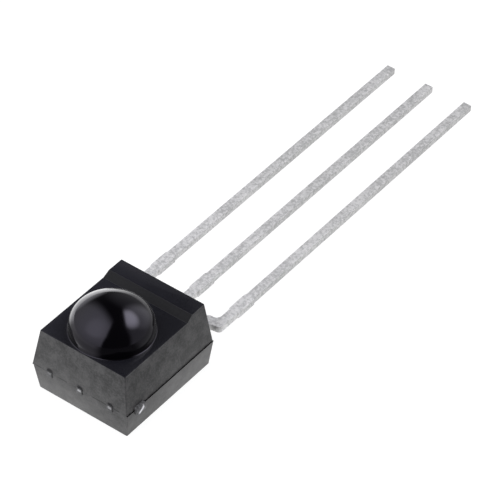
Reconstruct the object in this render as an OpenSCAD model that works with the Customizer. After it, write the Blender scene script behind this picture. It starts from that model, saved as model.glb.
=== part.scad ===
// Infrared receiver module: a dyed epoxy moulding with a domed lens, cast round a three-lead frame.
// Millimetres. X runs across the leads, +Y towards the lead tips, +Z out through the lens.
// The origin is on the flat back face, midway along and across the moulding's parting line.

/* [Moulded body] */
// Width across the parting line
body_w = 6.0; // [5.6:0.05:8]
// Length along the leads at the parting line
body_l = 6.95; // [6.6:0.05:9]
// Height of the parting line above the back face
parting_h = 1.65; // [1.2:0.05:2]
// Height of the lens-side face above the back face
face_h = 3.93; // [3.4:0.01:5]
// How far the upper half of the moulding lies off the lower half, towards -X
mould_shift = 0.05; // [0:0.01:0.1]

/* [Draft of the mould halves] */
// Lean of both long sides above the parting line, in degrees
side_draft_top = 8; // [0:0.5:12]
// Lean of the front end above the parting line
front_draft_top = 6; // [0:0.5:8]
// Lean of the lead end above the parting line
rear_draft_top = 8; // [0:0.5:12]
// Lean of both long sides below the parting line
side_draft_back = 7; // [0:0.5:12]
// Lean of the front end below the parting line
front_draft_back = 9; // [0:0.5:12]
// Lean of the lead end below the parting line
rear_draft_back = 2; // [0:0.5:12]

/* [Raised land at the lead end] */
// Height of the land above the lens-side face
land_h = 0.25; // [0.1:0.01:0.5]
// Length of the land, from the lead end at the parting line
land_l = 1.38; // [0.8:0.01:1.5]
// Length of the ramp up to the land
ramp_l = 0.38; // [0.1:0.01:0.5]

/* [Lens] */
// Distance of the lens axis from the front end at the parting line
lens_from_front = 2.53; // [2.5:0.01:2.65]
// Largest radius of the dome
lens_r = 2.12; // [1.8:0.01:2.14]
// How far the foot of the lens flares past the dome
lens_flare = 0.06; // [0:0.01:0.12]
// Height of the dome above the lens-side face
lens_rise = 1.79; // [1.5:0.01:2]
// Radius of the crown
crown_r = 2.65; // [2.3:0.05:3]
// Radius that blends the crown into the skirt
shoulder_r = 1.05; // [0.7:0.05:1.3]

/* [Lead frame] */
// Thickness of the lead frame
frame_t = 0.4; // [0.25:0.05:0.5]
// How far the frame's middle plane lies below the parting line
frame_drop = 0.05; // [0:0.01:0.15]
// Width of a lead
lead_w = 0.5; // [0.3:0.05:0.6]
// Spacing of the leads outside the moulding
lead_pitch = 2.54; // [2.3:0.01:3]
// Spacing of the leads inside the moulding
inner_pitch = 1.9; // [1.8:0.05:2.1]
// Overall length, from the front end to the lead tips
overall_l = 30.5; // [15:0.5:40]
// Length of an outer lead between the moulding and its sideways jog
jog_gap = 0.77; // [0.4:0.01:1]
// Radius of the jog's outer corners
jog_round = 0.25; // [0.1:0.01:0.29]
// Fillet in the jog's inner corners
jog_fillet = 0.3; // [0.05:0.01:0.32]
// Distance of the cut dam bar from the moulding
dam_gap = 2.25; // [2:0.05:4]
// Length of the cut dam bar along the lead
dam_l = 1.4; // [0.5:0.05:2]
// How far the cut dam bar stands out on each side of a lead
dam_proud = 0.06; // [0.02:0.01:0.15]

/* [Cut tie bars] */
// Width of the tie bars cut at the front end
tie_w = 0.35; // [0.2:0.05:0.5]
// Width of the tie bars cut at the long sides
side_tie_w = 0.7; // [0.3:0.05:0.9]
// Distance of the side tie bars from the front end
side_tie_from_front = 0.95; // [0.7:0.05:1.6]
// How far the cut ends stand out of the front end
cut_proud = 0.04; // [0.01:0.01:0.1]
// How far the cut ends stand out of the long sides
side_cut_proud = 0.16; // [0.05:0.01:0.25]
// How far the shear rolled back the top edge of the cut ends at the long sides
cut_roll = 0.08; // [0.02:0.01:0.12]

/* [Die pad and chips] */
// Gap between the die pad and the outer leads
pad_gap = 0.3; // [0.2:0.05:0.4]
// Rim of the die pad past the chips
pad_rim = 0.3; // [0.15:0.05:0.35]
// Corner radius of the die pad
pad_round = 0.2; // [0.05:0.05:0.3]
// Side of the square photodiode
diode_side = 1.9; // [1.2:0.05:2]
// Width of the receiver chip
chip_w = 1.3; // [0.9:0.05:1.6]
// Length of the receiver chip
chip_l = 1.1; // [0.9:0.05:1.2]
// Gap between the two chips
chip_gap = 0.55; // [0.4:0.05:0.6]
// Thickness of both chips
chip_t = 0.25; // [0.15:0.05:0.35]
// Thickness of the adhesive under the chips
glue_t = 0.03; // [0.02:0.01:0.06]
// How far the adhesive squeezes out past the chips
glue_rim = 0.06; // [0.02:0.01:0.1]

/* [Bond wires] */
// Thickness of a bond wire
wire_d = 0.03; // [0.02:0.005:0.05]
// Height of a wire's loop
wire_rise = 0.35; // [0.2:0.05:0.5]
// Diameter of the ball at a wire's first end
ball_d = 0.09; // [0.06:0.01:0.1]
// Distance of a bond from the edge of its chip
bond_inset = 0.14; // [0.1:0.01:0.2]

/* [Hidden] */
$fn = 96;

// Colours
BODY_COLOUR = "#1c1d22";
LEAD_COLOUR = "#c4c3c9";
SILICON_COLOUR = "#4c4a66";
GLUE_COLOUR = "#9a9aa0";
GOLD_COLOUR = "#d8a838";

// Ends and heights of the moulding
front_y = -body_l / 2;
rear_y = body_l / 2;
land_top = face_h + land_h;
ramp_top_y = rear_y - land_l;
ramp_foot_y = ramp_top_y - ramp_l;
lens_y = front_y + lens_from_front;

// Section of the lens: a crown arc runs tangent into a shoulder arc, which ends upright on a flared skirt
crown_z = lens_rise - crown_r;
shoulder_x = lens_r - shoulder_r;
shoulder_z = crown_z + sqrt(pow(crown_r - shoulder_r, 2) - pow(shoulder_x, 2));
crown_angle = atan2(shoulder_z - crown_z, shoulder_x);
lens_root = 0.3;

// The lead frame's planes, lead tips and cut ends
frame_z = parting_h - frame_drop - frame_t / 2;
frame_top = frame_z + frame_t;
tip_y = front_y + overall_l;
cut_front_y = front_y - cut_proud;
cut_side_x = body_w / 2 + side_cut_proud;
side_tie_y = front_y + side_tie_from_front;

// Chips on the die pad, from the lens axis towards the leads
diode_y = lens_y;
chip_y = diode_y + diode_side / 2 + chip_gap + chip_l / 2;
pad_w = 2 * (inner_pitch - lead_w / 2 - pad_gap);
pad_front_y = diode_y - diode_side / 2 - pad_rim;
pad_rear_y = chip_y + chip_l / 2 + pad_rim;
chip_z = frame_top + glue_t;
chip_top = chip_z + chip_t;

// Where the wires land on the leads
WIRE_STEPS = 12;
ground_bond_y = pad_rear_y;

// A drafted wall's inset at a height h above or below the parting line
function inset(h, angle) = h * tan(angle);

// Outline seen from the front end. Both halves lean in from the parting line, where their shift
// leaves a ledge: the lower half stands proud on the +X side, and the upper half on the -X side.
module across_section() {
    half = body_w / 2;
    low_in = inset(parting_h, side_draft_back);
    top_in = inset(land_top - parting_h, side_draft_top);
    polygon([
        [mould_shift + low_in - half, 0], [half - low_in, 0],
        [half, parting_h], [half - mould_shift, parting_h],
        [half - mould_shift - top_in, land_top], [top_in - half, land_top],
        [-half, parting_h], [mould_shift - half, parting_h]
    ]);
}

// Outline seen from the side, with the lens-side face, the ramp and the raised land
module along_section() {
    polygon([
        [front_y + inset(parting_h, front_draft_back), 0],
        [rear_y - inset(parting_h, rear_draft_back), 0],
        [rear_y, parting_h],
        [rear_y - inset(land_top - parting_h, rear_draft_top), land_top],
        [ramp_top_y, land_top],
        [ramp_foot_y, face_h],
        [front_y + inset(face_h - parting_h, front_draft_top), face_h],
        [front_y, parting_h]
    ]);
}

// The two outlines, each extruded through the other, leave the drafted block
module block() {
    intersection() {
        rotate([90, 0, 0])
            linear_extrude(2 * body_l, center = true) across_section();
        rotate([90, 0, 90])
            linear_extrude(2 * body_w, center = true) along_section();
    }
}

// Half section of the lens above the lens-side face, with a root that joins it to the block
module lens_section() {
    intersection() {
        union() {
            polygon([
                [0, -lens_root], [lens_r + lens_flare, -lens_root], [lens_r + lens_flare, 0],
                [lens_r, shoulder_z], [0, shoulder_z]
            ]);
            translate([shoulder_x, shoulder_z]) circle(shoulder_r);
            intersection() {
                translate([0, crown_z]) circle(crown_r);
                polygon([
                    [0, crown_z],
                    [2 * crown_r * cos(crown_angle), crown_z + 2 * crown_r * sin(crown_angle)],
                    [0, crown_z + 2 * crown_r]
                ]);
            }
        }
        translate([0, -lens_root]) square([2 * lens_r, lens_root + 2 * lens_rise]);
    }
}

module lens() {
    translate([0, lens_y, face_h]) rotate_extrude() lens_section();
}

// Everything that the resin flowed round, so that the moulding fits it face to face
module embedded_parts() {
    lead_output();
    lead_ground();
    lead_supply();
    photodiode_adhesive();
    receiver_chip_adhesive();
    photodiode_chip();
    receiver_chip();
    bond_wire_photodiode();
    bond_wire_output();
    bond_wire_ground();
    bond_wire_supply();
}

// One moulding of dyed epoxy: the drafted block and the lens, cast round the frame
module moulded_body() {
    color(BODY_COLOUR)
        difference() {
            union() {
                block();
                lens();
            }
            embedded_parts();
        }
}

// A strip between two heights along Y, centred on x
module strip(x, y0, y1, w) {
    translate([x - w / 2, y0]) square([w, y1 - y0]);
}

// What rounding takes off a corner whose sides run away from it along sx and sy
module corner_waste(corner, sx, sy, r) {
    translate(corner)
        scale([sx, sy])
            difference() {
                square(r);
                translate([r, r]) circle(r);
            }
}

// The pieces of a straight or jogged lead that both kinds share: the cut dam bar and the free length
module lead_free_length(x, y0) {
    strip(x, y0, tip_y, lead_w);
    strip(x, rear_y + dam_gap, rear_y + dam_gap + dam_l, lead_w + 2 * dam_proud);
}

// Plan of an outer lead on the +X side: through the moulding, out, sideways to the pitch and on
module outer_lead_plan() {
    half = lead_w / 2;
    jog_y = rear_y + jog_gap;
    strip(inner_pitch, cut_front_y, rear_y, tie_w);
    strip(inner_pitch, pad_front_y, jog_y, lead_w);
    translate([inner_pitch, side_tie_y - side_tie_w / 2])
        square([cut_side_x - inner_pitch, side_tie_w]);
    difference() {
        translate([inner_pitch - half, jog_y]) square([lead_pitch - inner_pitch + lead_w, lead_w]);
        corner_waste([lead_pitch + half, jog_y], -1, 1, jog_round);
        corner_waste([inner_pitch - half, jog_y + lead_w], 1, -1, jog_round);
    }
    corner_waste([inner_pitch + half, jog_y], 1, -1, jog_fillet);
    corner_waste([lead_pitch - half, jog_y + lead_w], -1, 1, jog_fillet);
    lead_free_length(lead_pitch, jog_y + jog_round);
}

// What the shear rolled off the top edge of the side bar's cut end
module rolled_edge_waste() {
    translate([cut_side_x, side_tie_y, frame_top])
        rotate([90, 0, 0])
            linear_extrude(2 * side_tie_w, center = true)
                polygon([
                    [-cut_roll, 0], [0, -2 * cut_roll],
                    [cut_roll, -2 * cut_roll], [cut_roll, cut_roll], [-cut_roll, cut_roll]
                ]);
}

module outer_lead() {
    difference() {
        translate([0, 0, frame_z]) linear_extrude(frame_t) outer_lead_plan();
        rolled_edge_waste();
    }
}

// Lead on the +X side: the demodulated output
module lead_output() {
    color(LEAD_COLOUR) outer_lead();
}

// Lead on the -X side: the supply
module lead_supply() {
    color(LEAD_COLOUR) mirror([1, 0, 0]) outer_lead();
}

// Rounded plate under both chips
module die_pad_plan() {
    difference() {
        strip(0, pad_front_y, pad_rear_y, pad_w);
        for (sx = [-1, 1]) {
            corner_waste([sx * pad_w / 2, pad_front_y], -sx, 1, pad_round);
            corner_waste([sx * pad_w / 2, pad_rear_y], -sx, -1, pad_round);
        }
    }
}

// Middle lead: ground, with the die pad on it and a tie bar cut at the front end
module lead_ground() {
    color(LEAD_COLOUR)
        translate([0, 0, frame_z])
            linear_extrude(frame_t) {
                strip(0, cut_front_y, pad_rear_y, tie_w);
                die_pad_plan();
                lead_free_length(0, pad_rear_y - pad_rim);
            }
}

// A flat block of w by l, centred on the leads' middle line at y, from height z
module slab(y, z, w, l, t) {
    translate([-w / 2, y - l / 2, z]) cube([w, l, t]);
}

module photodiode_chip() {
    color(SILICON_COLOUR) slab(diode_y, chip_z, diode_side, diode_side, chip_t);
}

module receiver_chip() {
    color(SILICON_COLOUR) slab(chip_y, chip_z, chip_w, chip_l, chip_t);
}

module photodiode_adhesive() {
    side = diode_side + 2 * glue_rim;
    color(GLUE_COLOUR) slab(diode_y, frame_top, side, side, glue_t);
}

module receiver_chip_adhesive() {
    color(GLUE_COLOUR) slab(chip_y, frame_top, chip_w + 2 * glue_rim, chip_l + 2 * glue_rim, glue_t);
}

// A bond wire from p to q, points on the surfaces that it joins. It loops up in the upright plane
// through both. A ball holds its first end and a pressed stitch its second.
module bond_wire(p, q) {
    run = norm([q.x - p.x, q.y - p.y]);
    along = [q.x - p.x, q.y - p.y] / run;
    side = [-along.y, along.x] * wire_d / 2;
    function loop(t) = p + (q - p) * t + [0, 0, 4 * wire_rise * t * (1 - t)];
    rings = [for (i = [0:WIRE_STEPS]) let (c = loop(i / WIRE_STEPS)) each [
        [c.x + side.x, c.y + side.y, c.z],
        [c.x - side.x, c.y - side.y, c.z],
        [c.x - side.x, c.y - side.y, c.z + wire_d],
        [c.x + side.x, c.y + side.y, c.z + wire_d]
    ]];
    walls = [for (i = [0:WIRE_STEPS - 1], k = [0:3])
        [4 * i + k, 4 * i + (k + 1) % 4, 4 * i + 4 + (k + 1) % 4, 4 * i + 4 + k]];
    first_end = [3, 2, 1, 0];
    last_end = [for (k = [0:3]) 4 * WIRE_STEPS + k];
    color(GOLD_COLOUR) {
        polyhedron(rings, concat([first_end, last_end], walls), convexity = 4);
        translate(p) cylinder(h = wire_d, d = ball_d, $fn = 24);
        translate(q)
            rotate(atan2(along.y, along.x))
                translate([-wire_d, -wire_d, 0]) cube([3 * wire_d, 2 * wire_d, wire_d / 2]);
    }
}

// From the photodiode to the receiver chip's input
module bond_wire_photodiode() {
    bond_wire(
        [chip_w / 4, diode_y + diode_side / 2 - bond_inset, chip_top],
        [chip_w / 4, chip_y - chip_l / 2 + bond_inset, chip_top]
    );
}

// From the receiver chip to the output lead
module bond_wire_output() {
    bond_wire([chip_w / 2 - bond_inset, chip_y, chip_top], [inner_pitch, chip_y, frame_top]);
}

// From the receiver chip down to the root of the ground lead
module bond_wire_ground() {
    bond_wire([0, chip_y + chip_l / 2 - bond_inset, chip_top], [0, ground_bond_y, frame_top]);
}

// From the receiver chip to the supply lead
module bond_wire_supply() {
    bond_wire([bond_inset - chip_w / 2, chip_y, chip_top], [-inner_pitch, chip_y, frame_top]);
}

moulded_body();
lead_output();
lead_ground();
lead_supply();
photodiode_chip();
receiver_chip();
photodiode_adhesive();
receiver_chip_adhesive();
bond_wire_photodiode();
bond_wire_output();
bond_wire_ground();
bond_wire_supply();
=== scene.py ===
"""Looks of an infrared receiver module: a black epoxy moulding with a domed lens, and the three
tinned leads that come out of its end."""

import math

import bmesh
import bpy
from mathutils import Matrix, Vector


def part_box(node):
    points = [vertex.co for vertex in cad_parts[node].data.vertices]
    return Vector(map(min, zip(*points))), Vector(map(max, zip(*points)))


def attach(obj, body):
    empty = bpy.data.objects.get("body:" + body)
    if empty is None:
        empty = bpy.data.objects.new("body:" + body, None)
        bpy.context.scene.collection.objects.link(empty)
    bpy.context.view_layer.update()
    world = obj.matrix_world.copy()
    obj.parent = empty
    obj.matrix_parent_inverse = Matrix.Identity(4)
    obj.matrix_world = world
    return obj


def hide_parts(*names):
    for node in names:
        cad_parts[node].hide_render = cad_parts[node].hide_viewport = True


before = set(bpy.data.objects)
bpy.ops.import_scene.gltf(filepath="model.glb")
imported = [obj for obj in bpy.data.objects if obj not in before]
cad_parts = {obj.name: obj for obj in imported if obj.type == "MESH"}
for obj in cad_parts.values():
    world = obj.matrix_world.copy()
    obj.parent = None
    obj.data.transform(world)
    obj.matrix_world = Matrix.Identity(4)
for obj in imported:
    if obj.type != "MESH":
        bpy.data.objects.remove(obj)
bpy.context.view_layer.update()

MM = 0.001

# Sizes in millimetres and drafts in degrees, in the frame of the part: X across the leads, Y along
# them towards their tips, Z out through the lens
body_low, body_high = (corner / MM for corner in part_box("moulded_body"))
lead_low, lead_high = (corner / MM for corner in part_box("lead_ground"))
_, outer_high = (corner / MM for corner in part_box("lead_output"))

HALF_W = body_high.x
FRONT_Y, REAR_Y = body_low.y, body_high.y
PARTING_H = 1.65
FACE_H = 3.93
MOULD_SHIFT = 0.05
LAND_H, LAND_L, RAMP_L = 0.25, 1.38, 0.38
LAND_TOP = FACE_H + LAND_H
RAMP_TOP_Y = REAR_Y - LAND_L
RAMP_FOOT_Y = RAMP_TOP_Y - RAMP_L
SIDE_DRAFT_TOP, FRONT_DRAFT_TOP, REAR_DRAFT_TOP = 8.0, 6.0, 8.0
SIDE_DRAFT_BACK, FRONT_DRAFT_BACK, REAR_DRAFT_BACK = 7.0, 9.0, 2.0
RIM_ROUND = 0.025
CORNER_ROUND = 0.07

LENS_FROM_FRONT = 2.53
LENS_Y = FRONT_Y + LENS_FROM_FRONT
LENS_R = 2.17
LENS_DRAFT = 0.02
LENS_FILLET = 0.06
LENS_ROOT = 0.3
LENS_RISE = body_high.z - FACE_H
CROWN_R = 2.65
SHOULDER_R = 1.22

FRAME_BOTTOM, FRAME_TOP = lead_low.z, lead_high.z
TIP_Y = lead_high.y
CUT_FRONT_Y = lead_low.y
CUT_SIDE_X = outer_high.x
LEAD_W = 0.5
LEAD_ROUND = 0.03
LEAD_ROOT = 0.15
LEAD_PITCH = 2.54
INNER_PITCH = 1.9
JOG_GAP = 0.77
JOG_Y = REAR_Y + JOG_GAP
JOG_ROUND = 0.25
JOG_FILLET = 0.3
DAM_GAP = 2.25
DAM_Y, DAM_L, DAM_PROUD, DAM_EASE = REAR_Y + DAM_GAP, 1.4, 0.06, 0.05
TIE_W, TIE_ROOT = 0.35, 0.3
SIDE_TIE_W, SIDE_TIE_ROOT, SIDE_TIE_FROM_FRONT = 0.7, 0.4, 0.95
SIDE_TIE_Y = FRONT_Y + SIDE_TIE_FROM_FRONT
CUT_ROLL = 0.08
STUB_ROUND = 0.02

# The photograph's camera, solved from the outlines of the moulding and the leads
CAMERA_AZIMUTH = math.radians(34.735)
CAMERA_ELEVATION = math.radians(42.003)
CAMERA_ROLL = math.radians(2.984)
CAMERA_DISTANCE = 159.457
CAMERA_AIM = Vector((0.3206, 10.0966, 1.6))
CAMERA_LENS = 222.13
CAMERA_SENSOR = 36.0
CAMERA_NEAR, CAMERA_FAR = 0.005, 10.0

# Level of the lamps: brings a matt surface that faces up to about the colour that it is given
LAMPS = 1.45
# Level of the dark room round them
ROOM = 0.04
STUDIO_TINT = (0.97, 0.97, 1.0, 1.0)
WHITE = (1, 1, 1, 1)

# Table top: half its side in metres, and half the moulding's footprint on it in millimetres
TABLE_HALF = 0.6
FOOTPRINT_X, FOOTPRINT_Y = 3.0, 3.5


# Camera, floor and light

def make_camera():
    """The photograph's viewpoint: the optical axis meets the leads' middle plane at CAMERA_AIM."""
    back = Vector((
        math.sin(CAMERA_AZIMUTH) * math.cos(CAMERA_ELEVATION),
        -math.cos(CAMERA_AZIMUTH) * math.cos(CAMERA_ELEVATION),
        math.sin(CAMERA_ELEVATION),
    ))
    level = Vector((math.cos(CAMERA_AZIMUTH), math.sin(CAMERA_AZIMUTH), 0.0))
    right = Matrix.Rotation(CAMERA_ROLL, 3, back) @ level
    up = back.cross(right)
    turn = Matrix((right, up, back)).transposed().to_4x4()
    camera = bpy.data.objects.new("camera", bpy.data.cameras.new("camera"))
    camera.data.sensor_width = CAMERA_SENSOR
    camera.data.lens = CAMERA_LENS
    camera.data.clip_start = CAMERA_NEAR
    camera.data.clip_end = CAMERA_FAR
    camera.matrix_world = Matrix.Translation((CAMERA_AIM + back * CAMERA_DISTANCE) * MM) @ turn
    bpy.context.scene.collection.objects.link(camera)
    bpy.context.scene.camera = camera


class Nodes:
    """Short hand for building a node tree. A value may be a number or a socket: a number is set,
    and a socket is linked."""

    def __init__(self, tree):
        self.tree = tree
        tree.nodes.clear()

    def add(self, kind, inputs=None, **settings):
        node = self.tree.nodes.new(kind)
        for name, value in settings.items():
            setattr(node, name, value)
        for name, value in (inputs or {}).items():
            self.put(node.inputs[name], value)
        return node

    def put(self, socket, value):
        if isinstance(value, bpy.types.NodeSocket):
            self.tree.links.new(value, socket)
        else:
            socket.default_value = value

    def math(self, operation, *values):
        node = self.add("ShaderNodeMath", operation=operation)
        for socket, value in zip(node.inputs, values):
            self.put(socket, value)
        return node.outputs[0]

    def times(self, a, b):
        return self.math("MULTIPLY", a, b)

    def plus(self, base, value, share):
        """The base with a share of the value added to it."""
        return self.math("MULTIPLY_ADD", value, share, base)

    def ramp(self, value, low, high, to_low=0.0, to_high=1.0):
        """Maps value from low..high to to_low..to_high along a smooth step."""
        node = self.add("ShaderNodeMapRange", interpolation_type="SMOOTHSTEP", inputs={
            "Value": value, "From Min": low, "From Max": high,
            "To Min": to_low, "To Max": to_high,
        })
        return node.outputs["Result"]

    def near(self, value, centre, edge, core):
        """1 where value is within core of centre, falling to 0 at edge."""
        return self.ramp(self.math("ABSOLUTE", self.math("SUBTRACT", value, centre)), edge, core)

    def mix(self, factor, a, b):
        """Colour between a and b. The node's colour sockets are inputs 6 and 7, and output 2."""
        node = self.add("ShaderNodeMix", data_type="RGBA")
        self.put(node.inputs["Factor"], factor)
        self.put(node.inputs[6], a)
        self.put(node.inputs[7], b)
        return node.outputs[2]

    def mix_shader(self, factor, a, b):
        return self.add("ShaderNodeMixShader", inputs={0: factor, 1: a, 2: b}).outputs[0]

    def lit_and_glowing(self, grey, glow):
        """A matt surface of a grey that also gives white light of its own."""
        matt = self.add("ShaderNodeBsdfDiffuse", inputs={"Color": (grey, grey, grey, 1)})
        light = self.add("ShaderNodeEmission", inputs={"Color": WHITE, "Strength": glow})
        both = self.add("ShaderNodeAddShader", inputs={0: matt.outputs[0], 1: light.outputs[0]})
        return both.outputs[0]

    def dot(self, vector, direction):
        node = self.add("ShaderNodeVectorMath", operation="DOT_PRODUCT")
        self.put(node.inputs[0], vector)
        self.put(node.inputs[1], direction)
        return node.outputs["Value"]

    def noise(self, vector, scale, detail=2.0, rough=0.5):
        node = self.add("ShaderNodeTexNoise", inputs={
            "Vector": vector, "Scale": scale, "Detail": detail, "Roughness": rough,
        })
        return node.outputs["Fac"]


def direction(azimuth, elevation):
    """Unit vector at a compass angle from -Y, turning towards +X, and a height above the floor, in
    degrees."""
    a, e = math.radians(azimuth), math.radians(elevation)
    return Vector((math.sin(a) * math.cos(e), -math.cos(a) * math.cos(e), math.sin(e)))


def lobe(n, ray, azimuth, elevation, edge, core):
    """1 within core degrees of a direction, falling smoothly to 0 at edge degrees from it."""
    near = n.dot(ray, direction(azimuth, elevation))
    return n.ramp(near, math.cos(math.radians(edge)), math.cos(math.radians(core)))


def straight_edge(n, ray, azimuth, elevation, dark, lit):
    """A panel's straight edge: from 0 to 1 as the ray's part along a direction, which is square to
    the edge, goes from dark to lit."""
    return n.ramp(n.dot(ray, direction(azimuth, elevation)), dark, lit)


def left_softbox(n, ray):
    """Wide diffuser over the left and front, with a straight right edge and its lamp near that
    edge."""
    overall, least, lamp = 0.90, 0.10, 0.32
    side = straight_edge(n, ray, azimuth=104, elevation=-5, dark=0.03, lit=-0.09)
    behind = straight_edge(n, ray, azimuth=153, elevation=0, dark=0.10, lit=-0.25)
    spread = n.plus(least, n.dot(ray, direction(azimuth=-25, elevation=55)), overall)
    level = n.plus(spread, lobe(n, ray, azimuth=-30, elevation=52, edge=30, core=2), lamp)
    return n.times(level, n.times(side, behind))


def right_softbox(n, ray):
    """Upright panel behind right, with a straight top edge, its lamp high up and less light
    below."""
    panel_level, lamp, below = 0.32, 2.7, 0.40
    left_edge = straight_edge(n, ray, azimuth=170, elevation=-12, dark=-0.06, lit=0.20)
    right_edge = straight_edge(n, ray, azimuth=90, elevation=0, dark=-0.20, lit=0.10)
    top_edge = straight_edge(n, ray, azimuth=140, elevation=-25, dark=-0.05, lit=0.08)
    level = n.plus(panel_level, lobe(n, ray, azimuth=147, elevation=56, edge=25, core=2), lamp)
    level = n.plus(level, lobe(n, ray, azimuth=165, elevation=30, edge=38, core=8), below)
    return n.times(level, n.times(left_edge, n.times(right_edge, top_edge)))


def make_world():
    """A dim studio with the two softboxes that the lens mirrors, and what they light up behind the
    part. It shows white to the camera."""
    behind, behind_left = 0.15, 0.7
    world = bpy.data.worlds.new("studio")
    bpy.context.scene.world = world
    world.use_nodes = True
    n = Nodes(world.node_tree)
    ray = n.add("ShaderNodeTexCoord").outputs["Generated"]
    lamps = n.math("ADD", left_softbox(n, ray), right_softbox(n, ray))
    lamps = n.plus(lamps, lobe(n, ray, azimuth=-170, elevation=22, edge=38, core=8), behind)
    lamps = n.plus(lamps, lobe(n, ray, azimuth=-118, elevation=-4, edge=24, core=4), behind_left)
    light = n.plus(ROOM, lamps, LAMPS)
    studio = n.add("ShaderNodeBackground", inputs={"Color": STUDIO_TINT, "Strength": light})
    paper = n.add("ShaderNodeBackground", inputs={"Color": WHITE, "Strength": 1.0})
    seen = n.add("ShaderNodeLightPath").outputs["Is Camera Ray"]
    both = n.mix_shader(seen, studio.outputs[0], paper.outputs[0])
    n.add("ShaderNodeOutputWorld", inputs={"Surface": both})


def table_glow(n):
    """How bright the table is in reflections: lit close round the part, on the left and behind."""
    least, beside_part, behind, behind_right = 0.09, 1.1, 0.3, 0.3
    where = n.add("ShaderNodeTexCoord").outputs["Object"]
    split = n.add("ShaderNodeSeparateXYZ", inputs={"Vector": where})
    off_x = n.math("SUBTRACT", n.math("ABSOLUTE", split.outputs["X"]), FOOTPRINT_X * MM)
    off_y = n.math("SUBTRACT", n.math("ABSOLUTE", split.outputs["Y"]), FOOTPRINT_Y * MM)
    close = n.ramp(n.math("MAXIMUM", off_x, off_y), low=4.2 * MM, high=1.0 * MM)
    distance = n.add("ShaderNodeVectorMath", operation="LENGTH", inputs={0: where})
    distance = distance.outputs["Value"]
    away = n.add("ShaderNodeVectorMath", operation="NORMALIZE", inputs={0: where})
    away = away.outputs["Vector"]
    front_left = n.ramp(distance, low=6 * MM, high=40 * MM, to_low=0.5, to_high=0.85)
    rear_left = n.ramp(distance, low=5 * MM, high=13 * MM, to_low=0.5, to_high=2.1)
    glow = n.plus(least, close, beside_part)
    glow = n.plus(glow, lobe(n, away, azimuth=-45, elevation=0, edge=62, core=38), front_left)
    glow = n.plus(glow, lobe(n, away, azimuth=-117, elevation=0, edge=43, core=6), rear_left)
    glow = n.plus(glow, lobe(n, away, azimuth=-175, elevation=0, edge=45, core=10), behind)
    return n.plus(glow, lobe(n, away, azimuth=150, elevation=0, edge=65, core=40), behind_right)


def make_floor():
    """White table top at the height of the back face. It shows white to the camera, and keeps a
    faint shadow of the part."""
    half = TABLE_HALF
    mesh = bpy.data.meshes.new("floor")
    corners = [(-half, -half, 0), (half, -half, 0), (half, half, 0), (-half, half, 0)]
    mesh.from_pydata(corners, [], [(0, 1, 2, 3)])
    floor = bpy.data.objects.new("floor", mesh)
    bpy.context.scene.collection.objects.link(floor)
    material = bpy.data.materials.new("table_white")
    material.use_nodes = True
    n = Nodes(material.node_tree)
    path = n.add("ShaderNodeLightPath").outputs
    mirrored = n.math("MAXIMUM", path["Is Glossy Ray"], path["Is Transmission Ray"])
    lighting = n.lit_and_glowing(grey=0.15, glow=0.85)
    mirror_image = n.add("ShaderNodeEmission", inputs={"Color": WHITE, "Strength": table_glow(n)})
    unseen = n.mix_shader(mirrored, lighting, mirror_image.outputs[0])
    shown = n.lit_and_glowing(grey=0.25, glow=0.88)
    both = n.mix_shader(path["Is Camera Ray"], unseen, shown)
    n.add("ShaderNodeOutputMaterial", inputs={"Surface": both})
    mesh.materials.append(material)


# Materials. Noise scales are per metre, and bump depths are in millimetres.

def new_material(name):
    """A material with its empty node tree, and the object coordinates in it."""
    material = bpy.data.materials.new(name)
    material.use_nodes = True
    n = Nodes(material.node_tree)
    where = n.add("ShaderNodeTexCoord").outputs["Object"]
    return material, n, where


def finish_material(n, colour, roughness, height, bump_mm, **fixed):
    """Principled surface from a colour, a roughness and a height field of bump_mm depth."""
    bump = n.add("ShaderNodeBump", inputs={
        "Height": height, "Strength": 1.0, "Distance": bump_mm * MM,
    })
    names = {key.replace("_", " "): value for key, value in fixed.items()}
    surface = n.add("ShaderNodeBsdfPrincipled", inputs={
        "Base Color": colour, "Roughness": roughness, "Normal": bump.outputs[0], **names,
    })
    n.add("ShaderNodeOutputMaterial", inputs={"Surface": surface.outputs[0]})


def split_mm(n, where):
    """The object coordinates in millimetres, as three values."""
    scaled = n.add("ShaderNodeVectorMath", operation="SCALE", inputs={0: where, "Scale": 1 / MM})
    split = n.add("ShaderNodeSeparateXYZ", inputs={"Vector": scaled.outputs["Vector"]})
    return split.outputs["X"], split.outputs["Y"], split.outputs["Z"]


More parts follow.
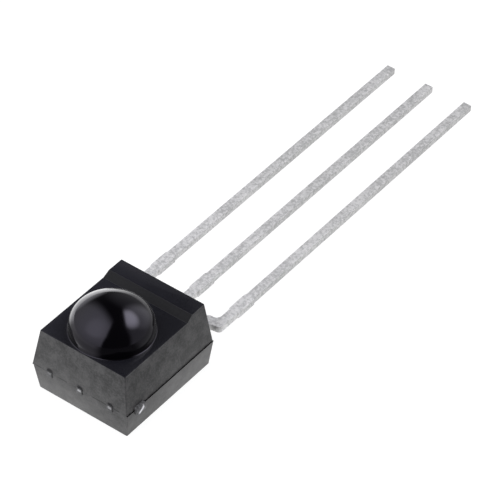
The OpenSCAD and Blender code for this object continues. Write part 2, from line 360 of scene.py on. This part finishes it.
def spark_eroded_epoxy():
    """The moulding's walls: dull black resin with the grain of an eroded mould cavity, a broken
    painted shadow line along the parting line, and small painted shadows above the cut tie bars of
    the front end."""
    dark, pale = (0.032, 0.032, 0.033, 1), (0.095, 0.094, 0.095, 1)
    # Black of the painted shadows along the parting line and above the cut tie bars
    shadow_black = (0.006, 0.006, 0.008, 1)
    grain_share, blotch_share, seam_shadow_strength, bar_shadow_strength = 0.6, 0.5, 0.75, 0.85
    material, n, where = new_material("epoxy_walls")
    x, y, z = split_mm(n, where)
    grain = n.noise(where, scale=9000.0, detail=4.0, rough=0.65)
    blotch = n.noise(where, scale=1500.0, detail=3.0, rough=0.55)
    tone = n.plus(n.times(grain, grain_share), blotch, blotch_share)
    colour = n.mix(n.ramp(tone, 0.38, 0.72), dark, pale)
    # Painted shadow: a broken dark line just above the parting line, where the ledge between the
    # mould halves casts shade
    dashes = n.ramp(n.noise(where, scale=2600.0, detail=2.0, rough=0.6), 0.44, 0.56)
    seam = n.times(n.near(z, centre=PARTING_H + 0.05, edge=0.05, core=0.02), dashes)
    # Painted shadow: small dark pockets on the front wall just above the cut tie bars
    above_bars = n.near(z, centre=FRAME_TOP + 0.06, edge=0.12, core=0.04)
    off_bar = n.math("PINGPONG", x, INNER_PITCH / 2)
    beside_bar = n.near(off_bar, centre=0.0, edge=0.2, core=0.08)
    at_bar = n.near(n.math("ABSOLUTE", x), centre=INNER_PITCH / 2, edge=0.35, core=0.45)
    front = n.ramp(y, low=FRONT_Y + 0.3, high=FRONT_Y + 0.1)
    bar_shadows = n.times(n.times(above_bars, beside_bar), n.times(at_bar, front))
    painted_shadows = n.math("MAXIMUM", n.times(seam, seam_shadow_strength), n.times(bar_shadows, bar_shadow_strength))
    colour = n.mix(painted_shadows, colour, shadow_black)
    roughness = n.ramp(grain, 0.2, 0.8, to_low=0.5, to_high=0.68)
    finish_material(n, colour, roughness, grain, bump_mm=0.010, IOR=1.5)
    return material


def smooth_epoxy():
    """The lens-side face, the ramp and the land: darker and smoother than the walls, the ramp
    duller. Painted shade makes the face darker towards +X and the ramp darker still."""
    dark, pale = (0.011, 0.011, 0.015, 1), (0.021, 0.021, 0.027, 1)
    # Near-black painted shade for the ramp, darker than the face round it
    ramp_painted_shade = (0.003, 0.003, 0.005, 1)
    painted_shade_share, blotch_share, ramp_dulling = 0.6, 0.4, 0.5
    material, n, where = new_material("epoxy_face")
    x, y, _ = split_mm(n, where)
    grain = n.noise(where, scale=9000.0)
    blotch = n.noise(where, scale=900.0, detail=3.0, rough=0.6)
    on_ramp = n.near(y, centre=(RAMP_FOOT_Y + RAMP_TOP_Y) / 2, edge=0.26, core=0.16)
    # Painted shade: the face gets darker towards +X, as if in the shade of the lens
    across = n.ramp(x, low=HALF_W, high=-HALF_W)
    tone = n.plus(n.times(blotch, blotch_share), across, painted_shade_share)
    colour = n.mix(n.ramp(tone, 0.1, 0.9), dark, pale)
    # Painted shade: the ramp is painted darker than the rest of the face
    colour = n.mix(on_ramp, colour, ramp_painted_shade)
    smooth = n.ramp(grain, 0.2, 0.8, to_low=0.18, to_high=0.26)
    roughness = n.plus(smooth, on_ramp, ramp_dulling)
    finish_material(n, colour, roughness, grain, bump_mm=0.001, IOR=1.45)
    return material


def lens_epoxy():
    """The dome: polished black resin with a trace of flow in it, and a faint sheen at its
    outline."""
    dark, pale = (0.0006, 0.0004, 0.0008, 1), (0.0012, 0.001, 0.0016, 1)
    material, n, where = new_material("epoxy_lens")
    flow = n.noise(where, scale=500.0)
    roughness = n.ramp(flow, 0.2, 0.8, to_low=0.08, to_high=0.12)
    finish_material(n, n.mix(flow, dark, pale), roughness, flow, bump_mm=0.001, IOR=1.47,
                    Specular_Tint=(0.86, 0.82, 1.0, 1.0), Sheen_Weight=0.3, Sheen_Roughness=0.25)
    return material


def tin_plate():
    """The leads: matt tin with a fine mottle and a few dull patches, and painted shade that makes
    them a little darker towards the tips."""
    # Painted shade: a lighter copy of the tin near the moulding and a darker copy towards the tips
    near_body_dull, near_body_bright = (0.60, 0.60, 0.60, 1), (0.90, 0.895, 0.895, 1)
    tip_shade_dull, tip_shade_bright = (0.52, 0.52, 0.515, 1), (0.80, 0.795, 0.79, 1)
    mottle_share, patch_share, tip_shade_from = 0.85, 0.25, TIP_Y * 0.7
    material, n, where = new_material("tin_plate")
    mottle = n.noise(where, scale=7000.0, detail=4.0, rough=0.62)
    patch = n.noise(where, scale=620.0)
    tone = n.plus(n.times(mottle, mottle_share), patch, patch_share)
    spots = n.ramp(tone, 0.42, 0.68)
    near_body = n.mix(spots, near_body_dull, near_body_bright)
    dimmed = n.mix(spots, tip_shade_dull, tip_shade_bright)
    _, y, _ = split_mm(n, where)
    colour = n.mix(n.ramp(y, low=JOG_Y, high=tip_shade_from), near_body, dimmed)
    roughness = n.ramp(mottle, 0.3, 0.7, to_low=0.5, to_high=0.65)
    finish_material(n, colour, roughness, mottle, bump_mm=0.006, Metallic=0.3)
    return material


def sheared_tin(name, bright_mask, torn, burnish):
    """A cut end: torn metal in the greys of torn, and burnished in those of burnish where
    bright_mask, from x, y, z in millimetres, says so."""
    blue_cast = 1.04
    material, n, where = new_material(name)
    tear = n.noise(where, scale=9000.0, detail=4.0, rough=0.7)
    bright = bright_mask(n, *split_mm(n, where))
    fine = n.ramp(tear, 0.3, 0.7)
    dull, shiny = (
        n.mix(fine, *((grey, grey, grey * blue_cast, 1) for grey in greys))
        for greys in (torn, burnish)
    )
    colour = n.mix(bright, dull, shiny)
    roughness = n.ramp(tear, 0.3, 0.7, to_low=0.45, to_high=0.65)
    finish_material(n, colour, roughness, tear, bump_mm=0.012, Metallic=0.2)
    return material


def front_cut_mask(n, x, y, z):
    """The small burnished spot in the upper half of the bars cut at the front end, weaker towards
    -X."""
    spot_x, spot_below_top = 0.02, 0.14
    off_bar = n.math("PINGPONG", n.math("SUBTRACT", x, spot_x), INNER_PITCH)
    off_bar = n.math("MINIMUM", off_bar, n.math("SUBTRACT", INNER_PITCH, off_bar))
    height = n.near(z, centre=FRAME_TOP - spot_below_top, edge=0.10, core=0.04)
    middle = n.ramp(off_bar, low=0.14, high=0.06)
    dimmed = n.ramp(x, low=-INNER_PITCH, high=0.0, to_low=0.3, to_high=1.0)
    return n.times(n.times(height, middle), dimmed)


def side_cut_mask(n, x, y, z):
    """The burnished streak that runs slantwise across the bars cut at the sides."""
    slope, streak_up, streak_shift = 0.58, 0.17, 0.02
    rise = n.plus(z, n.math("SUBTRACT", y, SIDE_TIE_Y), -slope)
    streak = n.near(rise, centre=FRAME_BOTTOM + streak_up, edge=0.13, core=0.05)
    length = n.near(y, centre=SIDE_TIE_Y - streak_shift, edge=0.26, core=0.14)
    return n.times(streak, length)


def silicon(name, pitch_mm, metal):
    """A die: dark silicon with a grid of metal tracks, as dense as metal says."""
    bare, metallised = (0.045, 0.040, 0.085, 1), (0.50, 0.47, 0.44, 1)
    track_core = 0.6
    material, n, where = new_material(name)
    x, y, _ = split_mm(n, where)
    columns = n.math("PINGPONG", x, pitch_mm / 2)
    rows = n.math("PINGPONG", y, pitch_mm / 2)
    half_track = pitch_mm * metal
    track = n.ramp(n.math("MINIMUM", columns, rows), half_track, half_track * track_core)
    broken = n.times(track, n.ramp(n.noise(where, scale=6000.0), 0.42, 0.5))
    roughness = n.ramp(broken, 0.0, 1.0, to_low=0.15, to_high=0.35)
    finish_material(n, n.mix(broken, bare, metallised), roughness, broken, bump_mm=0.001, IOR=1.6)
    return material


def silver_adhesive():
    """Silver-filled glue under the dies."""
    dull, bright = (0.25, 0.25, 0.26, 1), (0.62, 0.62, 0.64, 1)
    material, n, where = new_material("silver_adhesive")
    flakes = n.noise(where, scale=30000.0, detail=3.0, rough=0.7)
    colour = n.mix(n.ramp(flakes, 0.35, 0.65), dull, bright)
    roughness = n.ramp(flakes, 0.3, 0.7, to_low=0.4, to_high=0.7)
    finish_material(n, colour, roughness, flakes, bump_mm=0.004, Metallic=0.4)
    return material


def bond_gold():
    """Fine gold wire."""
    deep, light = (0.80, 0.52, 0.17, 1), (0.95, 0.68, 0.28, 1)
    material, n, where = new_material("bond_gold")
    drawn = n.noise(where, scale=20000.0)
    roughness = n.ramp(drawn, 0.3, 0.7, to_low=0.22, to_high=0.34)
    finish_material(n, n.mix(drawn, deep, light), roughness, drawn, bump_mm=0.0005, Metallic=1.0)
    return material


# Mesh helpers. Meshes are made in millimetres, and scaled to metres once they are objects.

def object_from(bm, name, materials):
    mesh = bpy.data.meshes.new(name)
    bm.to_mesh(mesh)
    bm.free()
    piece = bpy.data.objects.new(name, mesh)
    bpy.context.scene.collection.objects.link(piece)
    for material in materials:
        mesh.materials.append(material)
    return piece


def apply_modifiers(piece):
    """Bakes the piece's modifiers into its mesh."""
    depsgraph = bpy.context.evaluated_depsgraph_get()
    baked = bpy.data.meshes.new_from_object(piece.evaluated_get(depsgraph))
    piece.modifiers.clear()
    old = piece.data
    piece.data = baked
    bpy.data.meshes.remove(old)


def shade(piece, angle_degrees):
    """Smooth shading, with edges sharper than the angle kept."""
    bm = bmesh.new()
    bm.from_mesh(piece.data)
    for face in bm.faces:
        face.smooth = True
    limit = math.radians(angle_degrees)
    for edge in bm.edges:
        edge.smooth = len(edge.link_faces) == 2 and edge.calc_face_angle(0.0) < limit
    bm.to_mesh(piece.data)
    bm.free()


def round_edges(bm, edges, width, segments):
    """Rounds edges of the mesh, to a band of a width on each side of them."""
    bmesh.ops.bevel(bm, geom=edges, offset=width, offset_type="OFFSET", segments=segments,
                    profile=0.5, affect="EDGES", clamp_overlap=True)


def to_metres(piece):
    piece.data.transform(Matrix.Scale(MM, 4))
    piece.data.update()


# The moulding

WALL, FACE, LENS = range(3)
SEAM_TOLERANCE = 1e-4
SHARP_ANGLE, RIM_ANGLE = 12, 20
UPRIGHT_SHARE = 0.8
MOULDING_CREASE = 24.0


def inset(height, angle):
    """How far a wall of that draft leans in over that height."""
    return height * math.tan(math.radians(angle))


def block_mesh():
    """The drafted block: both mould halves, the ledge between them, the ramp and the land."""
    bm = bmesh.new()
    rear, front = REAR_Y, FRONT_Y
    low_in = inset(PARTING_H, SIDE_DRAFT_BACK)
    shift = MOULD_SHIFT

    def upper_x(sign, z):
        lean = inset(z - PARTING_H, SIDE_DRAFT_TOP)
        return sign * (HALF_W - lean) - (shift if sign > 0 else 0)

    def pair(y, z):
        return [bm.verts.new((upper_x(s, z), y, z)) for s in (-1, 1)]

    bottom_front = front + inset(PARTING_H, FRONT_DRAFT_BACK)
    bottom_rear = rear - inset(PARTING_H, REAR_DRAFT_BACK)
    low_left, low_right = shift + low_in - HALF_W, HALF_W - low_in
    base = [bm.verts.new(p) for p in (
        (low_left, bottom_front, 0), (low_right, bottom_front, 0),
        (low_right, bottom_rear, 0), (low_left, bottom_rear, 0),
    )]
    seam = [bm.verts.new(p) for p in (
        (shift - HALF_W, front, PARTING_H), (HALF_W, front, PARTING_H),
        (HALF_W, rear, PARTING_H), (shift - HALF_W, rear, PARTING_H),
    )]
    foot_front = pair(front, PARTING_H)
    foot_rear = pair(rear, PARTING_H)
    face_front = pair(front + inset(FACE_H - PARTING_H, FRONT_DRAFT_TOP), FACE_H)
    ramp_foot = pair(RAMP_FOOT_Y, FACE_H)
    ramp_top = pair(RAMP_TOP_Y, LAND_TOP)
    land_rear = pair(rear - inset(LAND_TOP - PARTING_H, REAR_DRAFT_TOP), LAND_TOP)

    # Back face and lower long sides
    bm.faces.new(base[::-1])
    bm.faces.new([base[1], base[2], seam[2], seam[1]])
    bm.faces.new([base[3], base[0], seam[0], seam[3]])
    # Front and rear walls run on across the seam, where the two halves are offset sideways
    bm.faces.new([base[0], base[1], seam[1], foot_front[1], seam[0]])
    bm.faces.new([base[2], base[3], seam[3], foot_rear[1], seam[2]])
    bm.faces.new([seam[0], foot_front[1], face_front[1], face_front[0], foot_front[0]])
    bm.faces.new([foot_rear[1], seam[3], foot_rear[0], land_rear[0], land_rear[1]])
    # Ledges
    bm.faces.new([seam[1], seam[2], foot_rear[1], foot_front[1]])
    bm.faces.new([foot_front[0], foot_rear[0], seam[3], seam[0]])
    # Upper long sides
    profile = (foot_front, foot_rear, land_rear, ramp_top, ramp_foot, face_front)
    bm.faces.new([ends[1] for ends in profile])
    bm.faces.new([ends[0] for ends in (foot_front, *reversed(profile[1:]))])
    # Face, ramp and land
    bm.faces.new([face_front[0], face_front[1], ramp_foot[1], ramp_foot[0]])
    bm.faces.new([ramp_foot[0], ramp_foot[1], ramp_top[1], ramp_top[0]])
    bm.faces.new([ramp_top[0], ramp_top[1], land_rear[1], land_rear[0]])
    bmesh.ops.recalc_face_normals(bm, faces=bm.faces)
    return bm


def round_block_edges(bm):
    """Rounds the upright corners of the mould and, finely, the rims of its faces, and gives what
    looks up the face's material and the rest that of the walls."""
    def steeper(edge, angle):
        return edge.calc_face_angle(0.0) > math.radians(angle)

    def sharp(edge):
        on_seam = all(abs(v.co.z - PARTING_H) < SEAM_TOLERANCE for v in edge.verts)
        return not on_seam and steeper(edge, SHARP_ANGLE)

    def upright(edge):
        rise = edge.verts[0].co - edge.verts[1].co
        return abs(rise.z) > UPRIGHT_SHARE * rise.length

    corners = [e for e in bm.edges if sharp(e) and upright(e)]
    round_edges(bm, corners, CORNER_ROUND, segments=4)
    rims = [e for e in bm.edges if sharp(e) and not upright(e) and steeper(e, RIM_ANGLE)]
    round_edges(bm, rims, RIM_ROUND, segments=2)
    for face in bm.faces:
        face.material_index = FACE if face.normal.z > 0.5 else WALL


def lens_profile():
    """Radius and height above the lens-side face, from the foot to the crown: a fillet, a short
    drafted wall, a shoulder arc and a crown arc that runs on from it without a corner."""
    fillet_steps, shoulder_steps, crown_steps = 7, 28, 30
    fillet_turn = 86
    crown_z = LENS_RISE - CROWN_R
    shoulder_x = LENS_R - SHOULDER_R
    shoulder_z = crown_z + math.sqrt((CROWN_R - SHOULDER_R) ** 2 - shoulder_x ** 2)
    join = math.atan2(shoulder_z - crown_z, shoulder_x)
    points = []
    for i in range(fillet_steps):
        a = math.radians(fillet_turn * (1 - i / fillet_steps))
        wide = LENS_FILLET * (1 - math.cos(a))
        points.append((LENS_R + LENS_DRAFT + wide, LENS_FILLET * (1 - math.sin(a))))
    points.insert(0, (points[0][0], -LENS_ROOT))
    for i in range(shoulder_steps):
        a = join * i / shoulder_steps
        points.append((
            shoulder_x + SHOULDER_R * math.cos(a), shoulder_z + SHOULDER_R * math.sin(a),
        ))
    for i in range(crown_steps):
        a = join + (math.pi / 2 - join) * i / crown_steps
        points.append((CROWN_R * math.cos(a), crown_z + CROWN_R * math.sin(a)))
    return points


def lens_mesh():
    """The dome as a closed revolved body that roots in the block."""
    bm = bmesh.new()
    around = 160
    turns = [2 * math.pi * k / around for k in range(around)]
    rings = [
        [bm.verts.new((r * math.cos(a), LENS_Y + r * math.sin(a), FACE_H + z)) for a in turns]
        for r, z in lens_profile()
    ]
    for low, high in zip(rings, rings[1:]):
        for k in range(around):
            j = (k + 1) % around
            bm.faces.new((low[k], low[j], high[j], high[k]))
    crown = bm.verts.new((0, LENS_Y, FACE_H + LENS_RISE))
    for k in range(around):
        bm.faces.new((rings[-1][k], rings[-1][(k + 1) % around], crown))
    bm.faces.new(rings[0][::-1])
    for face in bm.faces:
        face.material_index = LENS
    bmesh.ops.recalc_face_normals(bm, faces=bm.faces)
    return bm


def close_slits(piece):
    """Closes the slits without area that the rounding leaves at the ends of the ledges. There one
    open edge runs past a point, and two shorter ones meet in it: the long edge is split at the
    point, and what then coincides is merged."""
    inside, on_line, merge = 0.01, 1e-4, 1e-3

    def open_ends():
        return [v for v in bm.verts if v.is_boundary]

    bm = bmesh.new()
    bm.from_mesh(piece.data)
    ends = open_ends()
    for edge in [e for e in bm.edges if e.is_boundary]:
        start, end = (v.co.copy() for v in edge.verts)
        along = end - start
        for v in ends:
            share = (v.co - start).dot(along) / along.length_squared
            off = (start + along * share - v.co).length
            if inside < share < 1 - inside and off < on_line:
                bmesh.utils.edge_split(edge, edge.verts[0], share)
                break
    bmesh.ops.remove_doubles(bm, verts=open_ends(), dist=merge)
    bm.to_mesh(piece.data)
    bm.free()


def make_moulding():
    """Block and lens joined into the one moulding that they are."""
    materials = [spark_eroded_epoxy(), smooth_epoxy(), lens_epoxy()]
    block = block_mesh()
    round_block_edges(block)
    moulding = object_from(block, "moulding", materials)
    lens = object_from(lens_mesh(), "lens_tool", materials)
    union = moulding.modifiers.new("union", "BOOLEAN")
    union.operation = "UNION"
    union.solver = "EXACT"
    union.object = lens
    apply_modifiers(moulding)
    bpy.data.objects.remove(lens)
    close_slits(moulding)
    shade(moulding, MOULDING_CREASE)
    to_metres(moulding)
    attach(moulding, "root")
    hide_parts("moulded_body")


# The leads

# Places in the list of a lead's materials, which starts with the tin plate
FRONT_CUT, SIDE_CUT = 1, 2
LEAD_CREASE = 30.0
PRISM_ANGLE = 60


def arc(x, y, radius, start, end):
    """Points on an arc round x, y, from a start angle to an end angle in degrees."""
    steps = 5
    turns = (math.radians(start + (end - start) * i / steps) for i in range(steps + 1))
    return [(x + radius * math.cos(a), y + radius * math.sin(a)) for a in turns]


def lead_outline(outer):
    """Plan of the lead outside the moulding, anticlockwise, for the middle or the +X lead."""
    half = LEAD_W / 2
    dam = half + DAM_PROUD
    x = LEAD_PITCH if outer else 0.0
    right = [
        (x + half, DAM_Y), (x + dam, DAM_Y + DAM_EASE),
        (x + dam, DAM_Y + DAM_L - DAM_EASE), (x + half, DAM_Y + DAM_L),
    ]
    left = [(2 * x - px, py) for px, py in reversed(right)]
    start = REAR_Y - LEAD_ROOT
    if not outer:
        return [(half, start)] + right + [(half, TIP_Y), (-half, TIP_Y)] + left + [(-half, start)]

    in_right, in_left = INNER_PITCH + half, INNER_PITCH - half
    out_right, out_left = LEAD_PITCH + half, LEAD_PITCH - half
    jog_top = JOG_Y + LEAD_W
    points = [(in_right, start)]
    points += arc(in_right + JOG_FILLET, JOG_Y - JOG_FILLET, JOG_FILLET, 180, 90)
    points += arc(out_right - JOG_ROUND, JOG_Y + JOG_ROUND, JOG_ROUND, -90, 0)
    points += right + [(out_right, TIP_Y), (out_left, TIP_Y)] + left
    points += arc(out_left - JOG_FILLET, jog_top + JOG_FILLET, JOG_FILLET, 0, -90)
    points += arc(in_left + JOG_ROUND, jog_top - JOG_ROUND, JOG_ROUND, 90, 180)
    points.append((in_left, start))
    return points


def prism(points, low, high):
    """An upright prism on a plan."""
    bm = bmesh.new()
    base = bm.faces.new([bm.verts.new((x, y, low)) for x, y in points])
    made = bmesh.ops.extrude_face_region(bm, geom=[base])
    top = [g for g in made["geom"] if isinstance(g, bmesh.types.BMVert)]
    bmesh.ops.translate(bm, verts=top, vec=(0, 0, high - low))
    bmesh.ops.recalc_face_normals(bm, faces=bm.faces)
    return bm


def round_prism(bm, width):
    edges = [e for e in bm.edges if e.calc_face_angle(0.0) > math.radians(PRISM_ANGLE)]
    round_edges(bm, edges, width, segments=2)


def front_stub(x):
    """The cut end of a bar at the front end."""
    low, high = x - TIE_W / 2, x + TIE_W / 2
    deep = FRONT_Y + TIE_ROOT
    plan = [(low, CUT_FRONT_Y), (high, CUT_FRONT_Y), (high, deep), (low, deep)]
    return prism(plan, FRAME_BOTTOM, FRAME_TOP)


def side_stub():
    """The cut end of a bar at the +X side, its top edge rolled back by the shear."""
    inner, outer = HALF_W - SIDE_TIE_ROOT, CUT_SIDE_X
    roll_start, roll_middle_in, roll_middle_down = 2 * CUT_ROLL, CUT_ROLL * 0.4, CUT_ROLL * 0.7
    section = [
        (inner, FRAME_BOTTOM), (outer, FRAME_BOTTOM), (outer, FRAME_TOP - roll_start),
        (outer - roll_middle_in, FRAME_TOP - roll_middle_down),
        (outer - CUT_ROLL, FRAME_TOP), (inner, FRAME_TOP),
    ]
    bm = prism(section, -SIDE_TIE_W / 2, SIDE_TIE_W / 2)
    upright = Matrix.Rotation(math.pi / 2, 3, "X")
    bmesh.ops.rotate(bm, verts=bm.verts, cent=(0, 0, 0), matrix=upright)
    bmesh.ops.translate(bm, verts=bm.verts, vec=(0, SIDE_TIE_Y, 0))
    return bm


def make_lead(name, node, materials, side):
    """A lead outside the moulding with its cut tie bars, for side -1, 0 or +1."""
    outer = side != 0
    bm = prism(lead_outline(outer), FRAME_BOTTOM, FRAME_TOP)
    round_prism(bm, LEAD_ROUND)
    stubs = [(front_stub(INNER_PITCH if outer else 0.0), FRONT_CUT)]
    if outer:
        stubs.append((side_stub(), SIDE_CUT))
    for stub, slot in stubs:
        round_prism(stub, STUB_ROUND)
        for face in stub.faces:
            face.material_index = slot
        mesh = bpy.data.meshes.new("stub")
        stub.to_mesh(mesh)
        stub.free()
        bm.from_mesh(mesh)
        bpy.data.meshes.remove(mesh)
    if side < 0:
        bmesh.ops.scale(bm, vec=(-1, 1, 1), verts=bm.verts)
        bmesh.ops.reverse_faces(bm, faces=bm.faces)
    lead = object_from(bm, name, materials)
    shade(lead, LEAD_CREASE)
    to_metres(lead)
    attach(lead, "root")
    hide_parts(node)


def make_leads():
    materials = [
        tin_plate(),
        sheared_tin("cut_front", front_cut_mask, torn=(0.04, 0.11), burnish=(0.25, 0.60)),
        sheared_tin("cut_side", side_cut_mask, torn=(0.05, 0.20), burnish=(0.8, 1.0)),
    ]
    make_lead("output_lead", "lead_output", materials, 1)
    make_lead("ground_lead", "lead_ground", materials, 0)
    make_lead("supply_lead", "lead_supply", materials, -1)


def dress_inner_pieces():
    """Gives the pieces inside the moulding their materials; their shapes are the CAD's own."""
    glue, gold = silver_adhesive(), bond_gold()
    dressing = {
        "photodiode_chip": silicon("photodiode_silicon", pitch_mm=0.9, metal=0.03),
        "receiver_chip": silicon("receiver_silicon", pitch_mm=0.09, metal=0.18),
        "photodiode_adhesive": glue,
        "receiver_chip_adhesive": glue,
        "bond_wire_photodiode": gold,
        "bond_wire_output": gold,
        "bond_wire_ground": gold,
        "bond_wire_supply": gold,
    }
    for name, material in dressing.items():
        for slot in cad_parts[name].material_slots:
            slot.material = material


make_camera()
make_world()
make_floor()
make_moulding()
make_leads()
dress_inner_pieces()

bpy.context.scene.view_settings.view_transform = "Standard"
